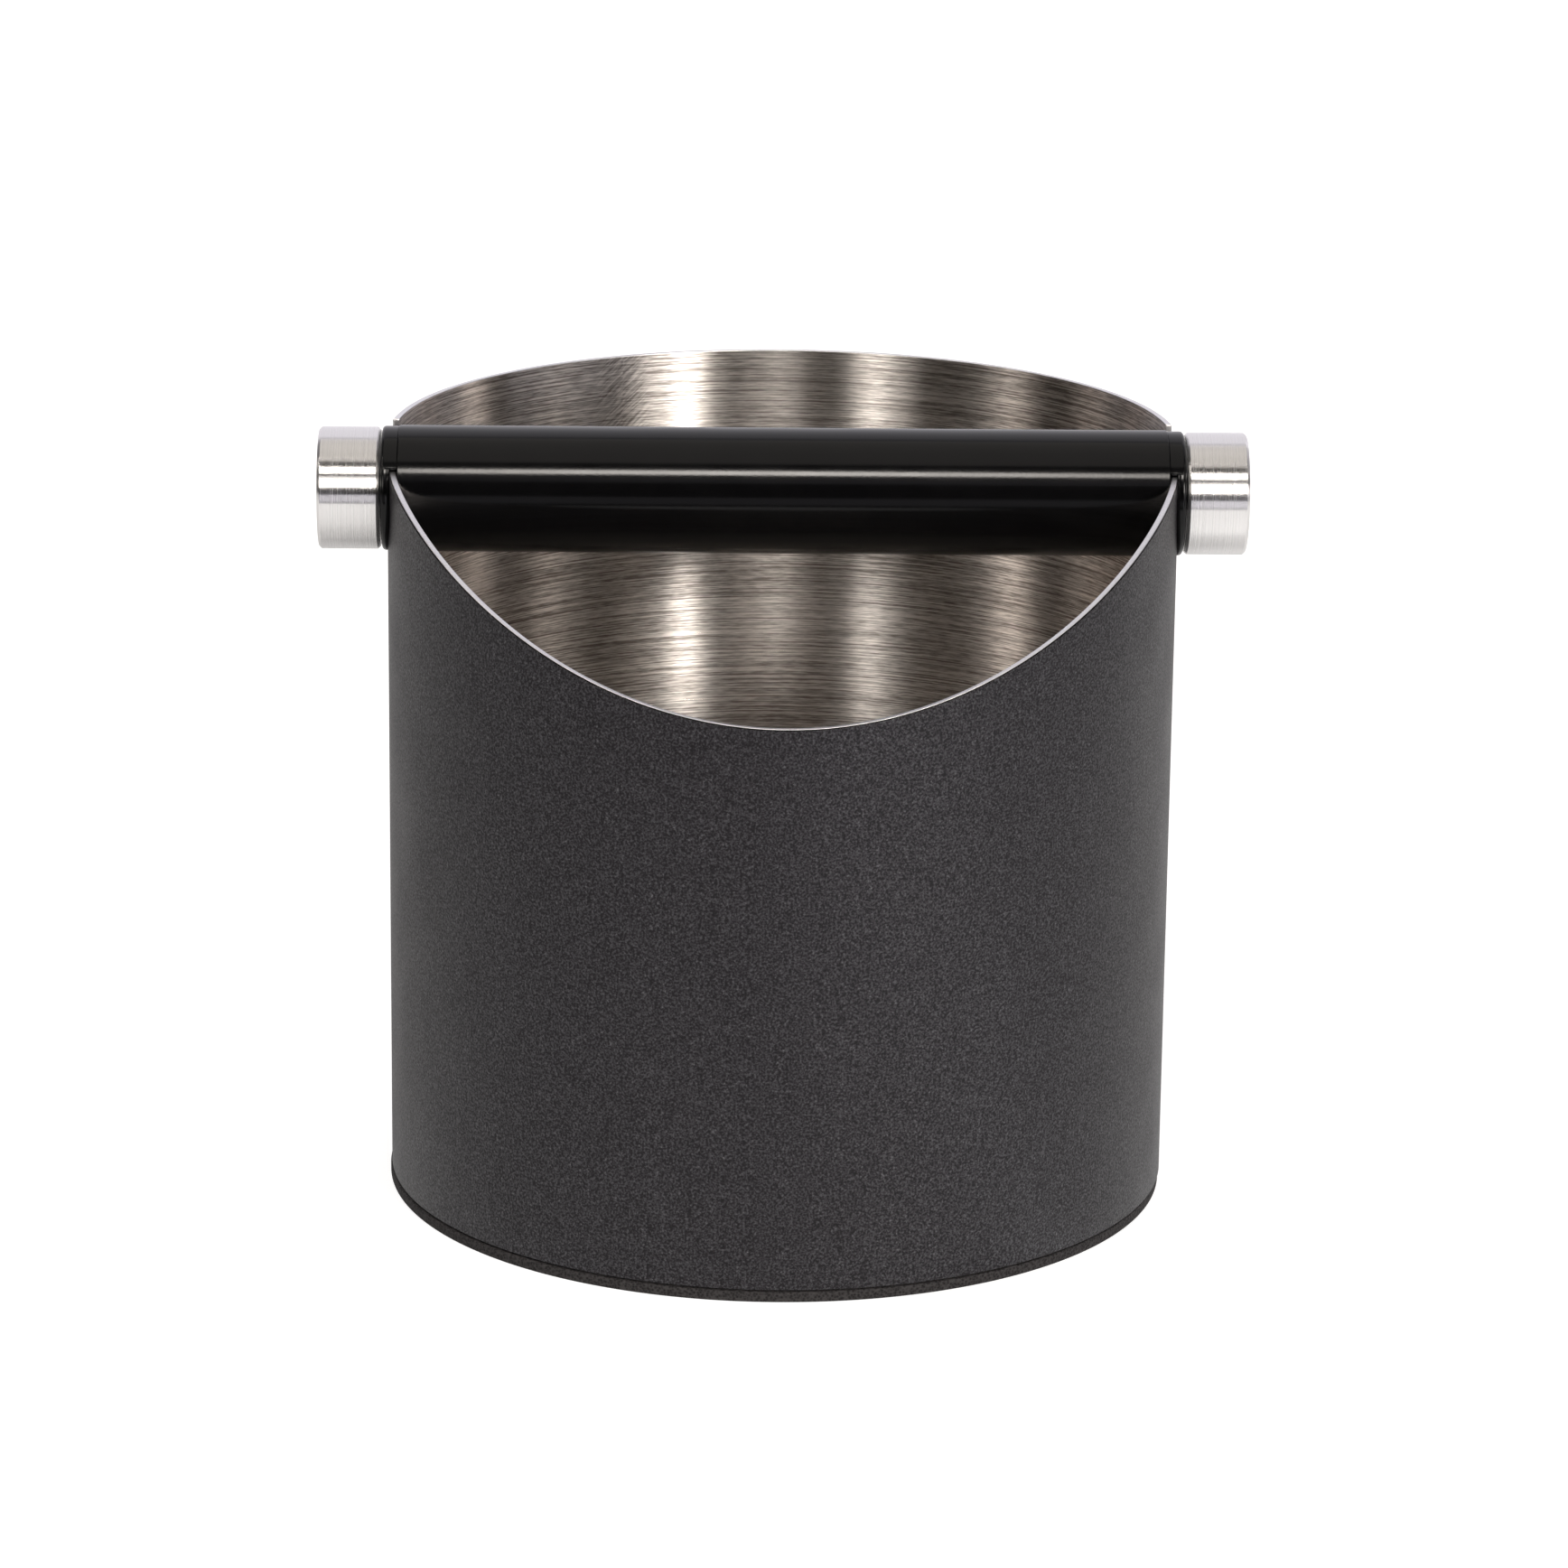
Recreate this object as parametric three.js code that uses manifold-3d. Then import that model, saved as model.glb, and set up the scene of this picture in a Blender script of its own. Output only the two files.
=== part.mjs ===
// Espresso knock box: a rolled steel bin with a scooped front, open at the top, and a
// rubber-sleeved knock bar that drops into two U-notches in the rim and lifts straight out.
// Millimetres, +Z up. The origin is on the standing surface, under the middle of the bin.
// The knock bar lies along X, and the low scoop in the rim faces -Y.
import * as THREE from "three";
import { mergeVertices } from "three/addons/utils/BufferGeometryUtils.js";
import Module from "manifold-3d";

const wasm = await Module();
wasm.setup();

// Bin
const bodyDiameter = 145; // outside of the rolled sheet
const sheet = 1.2; // sheet thickness
const shellHeight = 140; // from the lower edge to the level rear rim
const floorThickness = 1.2;
const floorEdgeRound = 0.4;
const padThickness = 2.4; // foam rubber under the bin
const padEdgeRound = 0.5;

// Scooped front of the rim: an arc seen from the front, cut square through the sheet
const scoopRadius = 100;
const scoopDepth = 36.3; // lowest point of the scoop below the level rim

// Seats of the knock bar
const notchWidth = 18; // U-notch through the sheet on each side, with a half-round bottom
const barDrop = 11; // bar axis below the level rim

// Knock bar
const sleeveDiameter = 23.2; // rubber sleeve that the spent puck is knocked against
const sleeveEdgeRound = 0.5;
const rodDiameter = 12; // steel core of the sleeve
const rodEdge = 0.6;
const flangeDiameter = 22.8; // outer half of the rubber bushing
const flangeStandout = 0.9; // how far the bushing stands out of the bin
const flangeEdgeRound = 0.4;
const capDiameter = 22.4;
const capLength = 11.3;
const capEdge = 0.5;
const studDiameter = 6;
const studLength = 15;
const studEdge = 0.7;

// Clearance between pieces that seat on each other
const clearance = 0.3;
// How far a cutting solid runs past what it cuts
const overrun = 5;

// Places that follow from the sizes above
const bodyRadius = bodyDiameter / 2;
const innerRadius = bodyRadius - sheet;
const shellBase = padThickness;
const rimHeight = shellBase + shellHeight;
const barHeight = rimHeight - barDrop;
const sleeveRadius = sleeveDiameter / 2;
const sleeveEnd = Math.sqrt(innerRadius ** 2 - sleeveRadius ** 2) - clearance;
const boreRadius = rodDiameter / 2 + clearance;
const rodEnd = bodyRadius + flangeStandout;
const threadRadius = studDiameter / 2 + clearance;
const threadDepth = studLength / 2 + clearance;

// Faces around each kind of turned piece
const bodySteps = 144;
const sleeveSteps = 60;
const rodSteps = 36;
const studSteps = 24;
const roundSteps = 2; // faces across a small rounded edge

const finishes = {
  powderCoat: new THREE.MeshStandardMaterial({ color: 0x3a393b, roughness: 0.6, metalness: 0.1 }),
  brushedSteel: new THREE.MeshStandardMaterial({ color: 0x9a948c, roughness: 0.35, metalness: 1 }),
  foamRubber: new THREE.MeshStandardMaterial({ color: 0x2a292b, roughness: 0.95, metalness: 0 }),
  sleeveRubber: new THREE.MeshStandardMaterial({ color: 0x1b1b1c, roughness: 0.45, metalness: 0 }),
  satinSteel: new THREE.MeshStandardMaterial({ color: 0xc9c6c4, roughness: 0.28, metalness: 1 }),
};

function solidOf(geometry) {
  // A closed geometry as a solid, with the vertices that its faces share merged.
  const bare = geometry.clone();
  bare.deleteAttribute("normal");
  bare.deleteAttribute("uv");
  const merged = mergeVertices(bare, 1e-4);
  return new wasm.Manifold(
    new wasm.Mesh({
      numProp: 3,
      vertProperties: merged.attributes.position.array,
      triVerts: new Uint32Array(merged.index.array),
    }),
  );
}

function geometryOf(solid) {
  // A solid as a geometry with flat faces.
  const mesh = solid.getMesh();
  const indexed = new THREE.BufferGeometry();
  indexed.setAttribute("position", new THREE.BufferAttribute(mesh.vertProperties, mesh.numProp));
  indexed.setIndex(new THREE.BufferAttribute(mesh.triVerts, 1));
  const geometry = indexed.toNonIndexed();
  geometry.computeVertexNormals();
  return geometry;
}

function corner(radius, along, round, fromAngle) {
  // Points of a quarter-round edge: centre (radius, along), turning by a quarter from fromAngle.
  const points = [];
  for (let i = 0; i <= roundSteps; i++) {
    const angle = fromAngle + (Math.PI / 2) * (i / roundSteps);
    points.push(
      new THREE.Vector2(radius + round * Math.cos(angle), along + round * Math.sin(angle)),
    );
  }
  return points;
}

function turnedAlongX(profile, steps) {
  // Revolves a profile of (radius, place along the axis) about X.
  return new THREE.LatheGeometry(profile, steps).rotateZ(-Math.PI / 2);
}

function turnedAlongZ(profile, steps) {
  // Revolves a profile of (radius, height) about Z.
  return new THREE.LatheGeometry(profile, steps).rotateX(Math.PI / 2);
}

function extrudedAlongX(shape, from, to, curveSteps) {
  // Extrudes an outline in (y, z) from one place on X to another.
  const options = { depth: to - from, bevelEnabled: false, curveSegments: curveSteps };
  const turn = new THREE.Matrix4().makeBasis(
    new THREE.Vector3(0, 1, 0),
    new THREE.Vector3(0, 0, 1),
    new THREE.Vector3(1, 0, 0),
  );
  return new THREE.ExtrudeGeometry(shape, options).applyMatrix4(turn).translate(from, 0, 0);
}

function uShape(width, bottomCentre, top) {
  // A U in (y, z): straight sides down to a half-round bottom about (0, bottomCentre).
  const half = width / 2;
  const shape = new THREE.Shape();
  shape.moveTo(-half, top);
  shape.lineTo(-half, bottomCentre);
  shape.absarc(0, bottomCentre, half, Math.PI, 2 * Math.PI, false);
  shape.lineTo(half, top);
  shape.closePath();
  return shape;
}

function scoopHeight(x) {
  // Height of the scooped rim at a distance x from the middle, never above the level rim.
  const under = scoopRadius ** 2 - x ** 2;
  if (under <= 0) return rimHeight;
  const arc = rimHeight - scoopDepth + scoopRadius - Math.sqrt(under);
  return Math.min(arc, rimHeight);
}

function wallRing() {
  // The rolled wall as a loft of its section around Z. The section is as high as the rim there:
  // scooped in the front half and level in the rear half, with the step hidden in the notches.
  const positions = [];
  for (let i = 0; i < bodySteps; i++) {
    const angle = (2 * Math.PI * i) / bodySteps;
    const cos = Math.cos(angle);
    const sin = Math.sin(angle);
    const front = i > bodySteps / 2;
    const top = front ? scoopHeight(bodyRadius * cos) : rimHeight;
    positions.push(bodyRadius * cos, bodyRadius * sin, shellBase);
    positions.push(bodyRadius * cos, bodyRadius * sin, top);
    positions.push(innerRadius * cos, innerRadius * sin, top);
    positions.push(innerRadius * cos, innerRadius * sin, shellBase);
  }
  const perSection = 4;
  const index = [];
  for (let i = 0; i < bodySteps; i++) {
    const here = i * perSection;
    const next = ((i + 1) % bodySteps) * perSection;
    for (let k = 0; k < perSection; k++) {
      const up = (k + 1) % perSection;
      index.push(here + k, next + k, next + up);
      index.push(here + k, next + up, here + up);
    }
  }
  const ring = new THREE.BufferGeometry();
  ring.setAttribute("position", new THREE.Float32BufferAttribute(positions, 3));
  ring.setIndex(index);
  return ring;
}

function bodyShell() {
  // The wall with a U-notch through both sides for the bar.
  const notch = uShape(notchWidth, barHeight, rimHeight + overrun);
  const reach = bodyRadius + overrun;
  const cutter = extrudedAlongX(notch, -reach, reach, rodSteps);
  return geometryOf(solidOf(wallRing()).subtract(solidOf(cutter)));
}

function disc(radius, base, thickness, round) {
  // A flat disc with rounded edges.
  const top = base + thickness;
  const profile = [
    new THREE.Vector2(0, base),
    ...corner(radius - round, base + round, round, -Math.PI / 2),
    ...corner(radius - round, top - round, round, 0),
    new THREE.Vector2(0, top),
  ];
  return turnedAlongZ(profile, bodySteps);
}

function knockSleeve() {
  // A rubber tube between the walls, with rounded ends.
  const round = sleeveEdgeRound;
  const profile = [
    new THREE.Vector2(boreRadius, -sleeveEnd),
    ...corner(sleeveRadius - round, -sleeveEnd + round, round, -Math.PI / 2),
    ...corner(sleeveRadius - round, sleeveEnd - round, round, 0),
    new THREE.Vector2(boreRadius, sleeveEnd),
    new THREE.Vector2(boreRadius, -sleeveEnd),
  ];
  return turnedAlongX(profile, sleeveSteps);
}

function coreRod() {
  // A steel rod with chamfered ends and a tapped blind hole in each.
  const radius = rodDiameter / 2;
  const holeEnd = rodEnd - threadDepth;
  const profile = [
    new THREE.Vector2(0, -holeEnd),
    new THREE.Vector2(threadRadius, -holeEnd),
    new THREE.Vector2(threadRadius, -rodEnd),
    new THREE.Vector2(radius - rodEdge, -rodEnd),
    new THREE.Vector2(radius, -rodEnd + rodEdge),
    new THREE.Vector2(radius, rodEnd - rodEdge),
    new THREE.Vector2(radius - rodEdge, rodEnd),
    new THREE.Vector2(threadRadius, rodEnd),
    new THREE.Vector2(threadRadius, holeEnd),
    new THREE.Vector2(0, holeEnd),
  ];
  return turnedAlongX(profile, rodSteps);
}

function keyedBushing() {
  // The right-hand rubber bushing, about the bar axis. A round flange hugs the outside of the bin,
  // and a U-shaped key goes inwards through the notch, so the bar can't spin. Over the low front
  // tip of the wall the bushing is round again.
  const radius = flangeDiameter / 2;
  const inner = sleeveEnd + clearance;
  const round = flangeEdgeRound;
  const blankProfile = [
    new THREE.Vector2(boreRadius, inner),
    new THREE.Vector2(radius, inner),
    ...corner(radius - round, rodEnd - round, round, 0),
    new THREE.Vector2(boreRadius, rodEnd),
    new THREE.Vector2(boreRadius, inner),
  ];
  const blank = solidOf(turnedAlongX(blankProfile, sleeveSteps));

  const reach = radius + overrun;
  const wallReach = bodyRadius + clearance;
  const halfNotch = notchWidth / 2;
  const tipHeight = scoopHeight(Math.sqrt(bodyRadius ** 2 - halfNotch ** 2)) - barHeight + clearance;
  const wallBelow = (top) =>
    new THREE.CylinderGeometry(wallReach, wallReach, top + reach, bodySteps)
      .rotateX(Math.PI / 2)
      .translate(0, 0, (top - reach) / 2);
  const rearHalf = new THREE.BoxGeometry(2 * wallReach + overrun, wallReach + overrun, 2 * reach);
  rearHalf.translate(0, (wallReach + overrun) / 2, 0);
  const rearWall = solidOf(wallBelow(reach)).intersect(solidOf(rearHalf));
  const wallSpace = solidOf(wallBelow(tipHeight)).add(rearWall);

  const key = uShape(notchWidth - 2 * clearance, 0, reach + overrun);
  const keySolid = solidOf(extrudedAlongX(key, -wallReach - overrun, wallReach + overrun, rodSteps));
  return geometryOf(blank.subtract(wallSpace.subtract(keySolid)));
}

function stud() {
  // A headless stud with chamfered ends, half in the rod and half in the cap.
  const radius = studDiameter / 2;
  const half = studLength / 2;
  const profile = [
    new THREE.Vector2(0, -half),
    new THREE.Vector2(radius - studEdge, -half),
    new THREE.Vector2(radius, -half + studEdge),
    new THREE.Vector2(radius, half - studEdge),
    new THREE.Vector2(radius - studEdge, half),
    new THREE.Vector2(0, half),
  ];
  return turnedAlongX(profile, studSteps);
}

function endCap() {
  // A turned cap, chamfered at both ends, with a tapped blind hole in its inner face.
  const radius = capDiameter / 2;
  const profile = [
    new THREE.Vector2(0, threadDepth),
    new THREE.Vector2(threadRadius, threadDepth),
    new THREE.Vector2(threadRadius, 0),
    new THREE.Vector2(radius - capEdge, 0),
    new THREE.Vector2(radius, capEdge),
    new THREE.Vector2(radius, capLength - capEdge),
    new THREE.Vector2(radius - capEdge, capLength),
    new THREE.Vector2(0, capLength),
  ];
  return turnedAlongX(profile, sleeveSteps);
}

function piece(name, geometry, material) {
  const mesh = new THREE.Mesh(geometry, material);
  mesh.name = name;
  return mesh;
}

function barEnd(side) {
  // Bushing, stud and cap of the right-hand end, in their places along the bar.
  const end = new THREE.Group();
  const bushing = piece(`${side}_bushing`, keyedBushing(), finishes.sleeveRubber);
  const screw = piece(`${side}_stud`, stud(), finishes.satinSteel);
  screw.position.x = rodEnd + clearance / 2;
  const cap = piece(`${side}_end_cap`, endCap(), finishes.satinSteel);
  cap.position.x = rodEnd + clearance;
  end.add(bushing, screw, cap);
  return end;
}

const bin = new THREE.Group();
bin.add(piece("body_shell", bodyShell(), finishes.powderCoat));
const floorRadius = innerRadius - clearance;
const floor = disc(floorRadius, shellBase, floorThickness, floorEdgeRound);
bin.add(piece("floor_disc", floor, finishes.brushedSteel));
bin.add(piece("base_pad", disc(bodyRadius, 0, padThickness, padEdgeRound), finishes.foamRubber));

const knockBar = new THREE.Group();
knockBar.position.z = barHeight;
knockBar.add(piece("core_rod", coreRod(), finishes.satinSteel));
knockBar.add(piece("knock_sleeve", knockSleeve(), finishes.sleeveRubber));
const rightEnd = barEnd("right");
const leftEnd = barEnd("left");
leftEnd.scale.x = -1;
knockBar.add(rightEnd, leftEnd);

const knockBox = new THREE.Group();
knockBox.add(bin, knockBar);

export default knockBox;
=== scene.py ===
"""Espresso knock box: the finished surfaces of a scooped steel bin and its lift-out knock bar.

Every piece is a surface of two parameters, worked out with numpy in millimetres in the frame of
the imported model, and turned to metres once, when its mesh is made.
"""

from __future__ import annotations

import logging
import math
from dataclasses import dataclass, field
from enum import Enum

import bmesh
import bpy
import numpy as np
from bpy.types import Material, Mesh, Node, NodeSocket, NodeTree, Object
from mathutils import Matrix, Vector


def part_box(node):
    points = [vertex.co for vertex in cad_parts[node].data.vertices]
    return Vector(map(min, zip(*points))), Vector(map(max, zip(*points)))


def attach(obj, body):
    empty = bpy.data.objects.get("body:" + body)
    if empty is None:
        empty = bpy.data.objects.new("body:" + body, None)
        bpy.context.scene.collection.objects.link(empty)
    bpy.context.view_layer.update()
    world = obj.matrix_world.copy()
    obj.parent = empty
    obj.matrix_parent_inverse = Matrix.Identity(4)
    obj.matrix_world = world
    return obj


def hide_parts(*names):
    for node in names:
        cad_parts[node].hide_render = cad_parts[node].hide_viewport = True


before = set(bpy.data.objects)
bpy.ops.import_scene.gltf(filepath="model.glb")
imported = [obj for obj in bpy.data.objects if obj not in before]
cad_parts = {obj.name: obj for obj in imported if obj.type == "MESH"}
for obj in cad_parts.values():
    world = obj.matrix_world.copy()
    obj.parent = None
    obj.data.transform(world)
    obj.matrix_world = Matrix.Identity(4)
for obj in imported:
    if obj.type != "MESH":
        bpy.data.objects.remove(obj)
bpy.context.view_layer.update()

LOG = logging.getLogger("knock_box")
MM = 0.001  # metres in a millimetre
MERGE = 1e-7  # metres within which the points of a pole count as one
Feed = Node | NodeSocket  # what an input is fed by, where a node stands for its first output


class Body(Enum):
    """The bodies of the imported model."""

    BIN = "bin"
    BAR = "knock_bar"


class Slot(Enum):
    """The record's material slots."""

    COAT = "powder_coat"
    BRUSHED = "brushed_steel"
    FOAM = "foam_rubber"
    RUBBER = "sleeve_rubber"
    TURNED = "turned_steel"


class Axis(Enum):
    """The axis that a turned piece is revolved about."""

    X = "x"
    Z = "z"


class Side(Enum):
    """An end of the knock bar, as the sign of its place on X."""

    LEFT = -1
    RIGHT = 1


# Colours and node trees


def linear(code: str) -> tuple[float, float, float, float]:
    """Turn an sRGB hex colour to linear light.

    Args:
        code: six hex digits.

    Returns:
        Red, green, blue and a full alpha, as Blender's sockets take them.
    """
    shares = [int(code[i : i + 2], 16) / 255 for i in (0, 2, 4)]
    light = [c / 12.92 if c <= 0.04045 else ((c + 0.055) / 1.055) ** 2.4 for c in shares]
    return (light[0], light[1], light[2], 1.0)


def add(tree: NodeTree, kind: str, sockets: dict | None = None, **settings: object) -> Node:
    """Add a node with its settings, its input values and its links.

    Args:
        tree: the node tree.
        kind: the node's type.
        sockets: input name or number, with a value or what feeds it.
        **settings: attributes of the node.

    Returns:
        The new node.
    """
    node = tree.nodes.new(kind)
    for name, value in settings.items():
        setattr(node, name, value)
    for key, value in (sockets or {}).items():
        if isinstance(value, Node):
            value = value.outputs[0]
        if isinstance(value, NodeSocket):
            tree.links.new(value, node.inputs[key])
        else:
            node.inputs[key].default_value = value
    return node


def ramp(value: Feed, start: float, end: float, low: float = 0.0, high: float = 1.0) -> dict:
    """Give a Map Range node's inputs: low plus (high - low) times the value's share of its reach.

    Args:
        value: what feeds the value.
        start: where its reach starts.
        end: where it ends.
        low: the result at the start.
        high: the result at the end.

    Returns:
        The inputs.
    """
    return {"Value": value, "From Min": start, "From Max": end, "To Min": low, "To Max": high}


def new_material(name: str) -> tuple[Material, NodeTree, NodeSocket]:
    """Make a material whose node tree holds only the object's coordinates.

    Args:
        name: the finish's name.

    Returns:
        The material, its node tree and the socket of a place on the piece, in metres.
    """
    material = bpy.data.materials.new(name)
    material.use_nodes = True
    tree = material.node_tree
    tree.nodes.clear()
    return material, tree, add(tree, "ShaderNodeTexCoord").outputs["Object"]


# Meshes


def grid_mesh(
    name: str,
    points: np.ndarray,
    closed: tuple[bool, bool],
    uv: np.ndarray,
    bands: np.ndarray | None = None,
) -> Object:
    """Put a grid of points into a mesh, with one quad between each four neighbours.

    Quad (i, j) joins points (i, j), (i+1, j), (i+1, j+1) and (i, j+1), and a closed direction
    wraps round to its start. Points that fall together, as at a pole, are merged.

    Args:
        name: the piece's name.
        points: millimetres, shape (columns, rows, 3).
        closed: whether the columns and the rows wrap.
        uv: metres along the surface, with one more column or row than points where they wrap.
        bands: material index of the quads above each row.

    Returns:
        The object, at the origin.
    """
    columns, rows = points.shape[:2]
    across = columns if closed[0] else columns - 1
    along = rows if closed[1] else rows - 1
    i, j = np.meshgrid(np.arange(across), np.arange(along), indexing="ij")
    ring = [(i, j), (i + 1, j), (i + 1, j + 1), (i, j + 1)]
    corners = [(a % columns) * rows + b % rows for a, b in ring]
    faces = np.stack(corners, -1).reshape(-1, 4)
    mesh = bpy.data.meshes.new(name)
    mesh.from_pydata((points.reshape(-1, 3) * MM).tolist(), [], faces.tolist())
    places = np.stack([uv[a, b] for a, b in ring], 2)
    layer = mesh.uv_layers.new(name="surface")
    layer.data.foreach_set("uv", places.astype(np.float32).ravel())
    if bands is not None:
        mesh.polygons.foreach_set("material_index", np.tile(bands[:along], across).astype(np.int32))
    merge_poles(mesh)
    weigh_normals(mesh)
    piece = bpy.data.objects.new(name, mesh)
    bpy.context.scene.collection.objects.link(piece)
    return piece


def merge_poles(mesh: Mesh) -> None:
    """Merge points that fall together, which turns the quads at a pole to triangles.

    Args:
        mesh: the mesh to clean.
    """
    work = bmesh.new()
    work.from_mesh(mesh)
    bmesh.ops.remove_doubles(work, verts=work.verts, dist=MERGE)
    work.to_mesh(mesh)
    work.free()


def weigh_normals(mesh: Mesh) -> None:
    """Shade the mesh smooth: a point's normal is the sum of its faces' normals times their areas.

    In this way broad faces stay flat beside a small round.

    Args:
        mesh: the mesh to shade.
    """
    count = len(mesh.polygons)
    normals = np.empty(count * 3)
    areas = np.empty(count)
    totals = np.empty(count, np.int32)
    corners = np.empty(len(mesh.loops), np.int32)
    mesh.polygons.foreach_get("normal", normals)
    mesh.polygons.foreach_get("area", areas)
    mesh.polygons.foreach_get("loop_total", totals)
    mesh.loops.foreach_get("vertex_index", corners)
    weighted = np.repeat(normals.reshape(-1, 3) * areas[:, None], totals, axis=0)
    summed = np.zeros((len(mesh.vertices), 3))
    np.add.at(summed, corners, weighted)
    lengths = np.linalg.norm(summed, axis=1, keepdims=True)
    summed = np.where(lengths > 0, summed / np.maximum(lengths, 1e-30), [0.0, 0.0, 1.0])
    mesh.polygons.foreach_set("use_smooth", np.ones(count, bool))
    mesh.normals_split_custom_set_from_vertices(summed.tolist())


def quarter(radius: float, along: float, size: float, start: float, steps: int = 6) -> np.ndarray:
    """Points of a quarter circle: the centre plus size times a unit vector that turns from start.

    Args:
        radius: the centre's distance from the axis.
        along: the centre's place along the axis.
        size: the circle's radius.
        start: the first angle in quarter turns, where 0 points away from the axis.
        steps: faces across the quarter.

    Returns:
        Rows of (distance from the axis, place along it).
    """
    angles = (start + np.linspace(0, 1, steps + 1)) * math.pi / 2
    return np.stack([radius + size * np.cos(angles), along + size * np.sin(angles)], -1)


def outline(*parts: tuple | np.ndarray) -> np.ndarray:
    """Join single points and runs of points into one profile.

    Args:
        *parts: points of (distance from the axis, place along it), or arrays of them.

    Returns:
        The profile, one point to a row.
    """
    return np.concatenate([np.atleast_2d(part) for part in parts])


def mirrored(profile: np.ndarray, side: Side) -> np.ndarray:
    """Give a right-hand profile for either side, still running up its axis outside.

    Args:
        profile: rows of (distance from the axis, place along it), going up the axis outside.
        side: the end that it is for.

    Returns:
        The profile itself, or with its places negated and its rows in reverse.
    """
    if side is Side.RIGHT:
        return profile
    return profile[::-1] * np.array([1.0, -1.0])


def turned(
    name: str,
    profile: np.ndarray,
    axis: Axis,
    steps: int,
    centre: tuple[float, float, float],
    closed: bool = False,
) -> Object:
    """Revolve a profile: a point is the centre plus its place on the axis plus its turned radius.

    Args:
        name: the piece's name.
        profile: rows of (distance from the axis, place along it), going up the axis outside.
        axis: the axis of the turning.
        steps: faces round the axis.
        centre: a point on the axis.
        closed: whether the profile closes on itself.

    Returns:
        The object. Its UV map runs round the widest circle and along the profile, in metres.
    """
    angle = np.linspace(0, 2 * math.pi, steps, endpoint=False)[:, None]
    radius = profile[None, :, 0]
    first, second = radius * np.cos(angle), radius * np.sin(angle)
    place = np.broadcast_to(profile[None, :, 1], first.shape)
    order = [first, second, place] if axis is Axis.Z else [place, first, second]
    points = np.stack(order, -1) + np.array(centre)
    ring = np.concatenate([profile, profile[:1]]) if closed else profile
    length = np.concatenate([[0], np.cumsum(np.linalg.norm(np.diff(ring, axis=0), axis=1))])
    round_place = np.linspace(0, 2 * math.pi * profile[:, 0].max(), steps + 1)
    uv = np.stack(np.meshgrid(round_place, length, indexing="ij"), -1) * MM
    return grid_mesh(name, points, (True, closed), uv)


def dress(piece: Object, finishes: list, body: Body, slot: Slot, *nodes: str) -> None:
    """Give a piece its finish, hang it on the body that it rides on, and hide the CAD nodes that it
    replaces.

    Args:
        piece: the object.
        finishes: its materials, in the order of its material indices.
        body: the body that it moves with.
        slot: the record's slot that its finish comes from; not used.
        *nodes: the CAD nodes that it replaces.
    """
    for finish in finishes:
        piece.data.materials.append(finish)
    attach(piece, body.value)
    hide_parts(*nodes)
    LOG.info("%s: %d faces, rides on %s", piece.name, len(piece.data.polygons), body.value)


def extent(node: str) -> tuple[list[float], ...]:
    """Give a CAD node's lowest and highest corners in millimetres.

    Args:
        node: the node's name.

    Returns:
        The two corners.
    """
    return tuple([float(place) / MM for place in corner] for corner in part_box(node))


def bar_height() -> float:
    """Give the height of the knock bar's axis in millimetres."""
    low, high = extent("knock_sleeve")
    return (low[2] + high[2]) / 2


# Finishes

FULL = (0.0, 1.0)
BROAD = (0.3, 0.7)  # values between which a noise mostly stays


def marks(
    tree: NodeTree,
    place: Feed,
    size: float | tuple[float, float, float],
    detail: float = 2.0,
    roughness: float = 0.5,
) -> Node:
    """Lay noise over a place, drawn out to the size of its marks.

    Args:
        tree: the node tree.
        place: a place on the piece.
        size: mm, the same each way or along X, Y and Z.
        detail: octaves of finer noise.
        roughness: strength of each finer octave.

    Returns:
        The noise, around 0.5.
    """
    sizes = size if isinstance(size, tuple) else (size, size, size)
    drawn = {"Vector": place, "Scale": tuple(1 / (length * MM) for length in sizes)}
    stretched = add(tree, "ShaderNodeMapping", drawn)
    noise = {"Vector": stretched, "Scale": 1.0, "Detail": detail, "Roughness": roughness}
    return add(tree, "ShaderNodeTexNoise", noise)


def shaded(
    tree: NodeTree, value: Feed, first: str | Feed, second: str, reach: tuple = FULL
) -> NodeSocket:
    """Go from one colour to another as a value goes through its reach.

    Args:
        tree: the node tree.
        value: the value.
        first: hex colour or socket at the reach's start.
        second: hex colour at its end.
        reach: the value's two ends.

    Returns:
        The socket of the colour.
    """
    share = add(tree, "ShaderNodeMapRange", ramp(value, *reach))
    start = linear(first) if isinstance(first, str) else first
    ends = {0: share, 6: start, 7: linear(second)}
    return add(tree, "ShaderNodeMix", ends, data_type="RGBA").outputs[2]


def surfaced(
    tree: NodeTree,
    value: Feed,
    shader: dict,
    relief: dict,
    wear: float = 0.0,
    reach: tuple = FULL,
) -> None:
    """Close a node tree with a principled surface whose roughness follows a value.

    Args:
        tree: the node tree.
        value: the value.
        shader: the principled shader's inputs, with the roughness at the reach's middle.
        relief: the bump's inputs, with its distance in millimetres.
        wear: what the roughness gains from the middle of the reach to its end.
        reach: the value's two ends.
    """
    middle = shader["Roughness"]
    worn = ramp(value, *reach, middle - wear, middle + wear)
    bump = {"Strength": 1.0, **relief, "Distance": relief["Distance"] * MM}
    inputs = {
        **shader,
        "Roughness": add(tree, "ShaderNodeMapRange", worn),
        "Normal": add(tree, "ShaderNodeBump", bump),
    }
    surface = add(tree, "ShaderNodeBsdfPrincipled", inputs)
    add(tree, "ShaderNodeOutputMaterial", {"Surface": surface})


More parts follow.
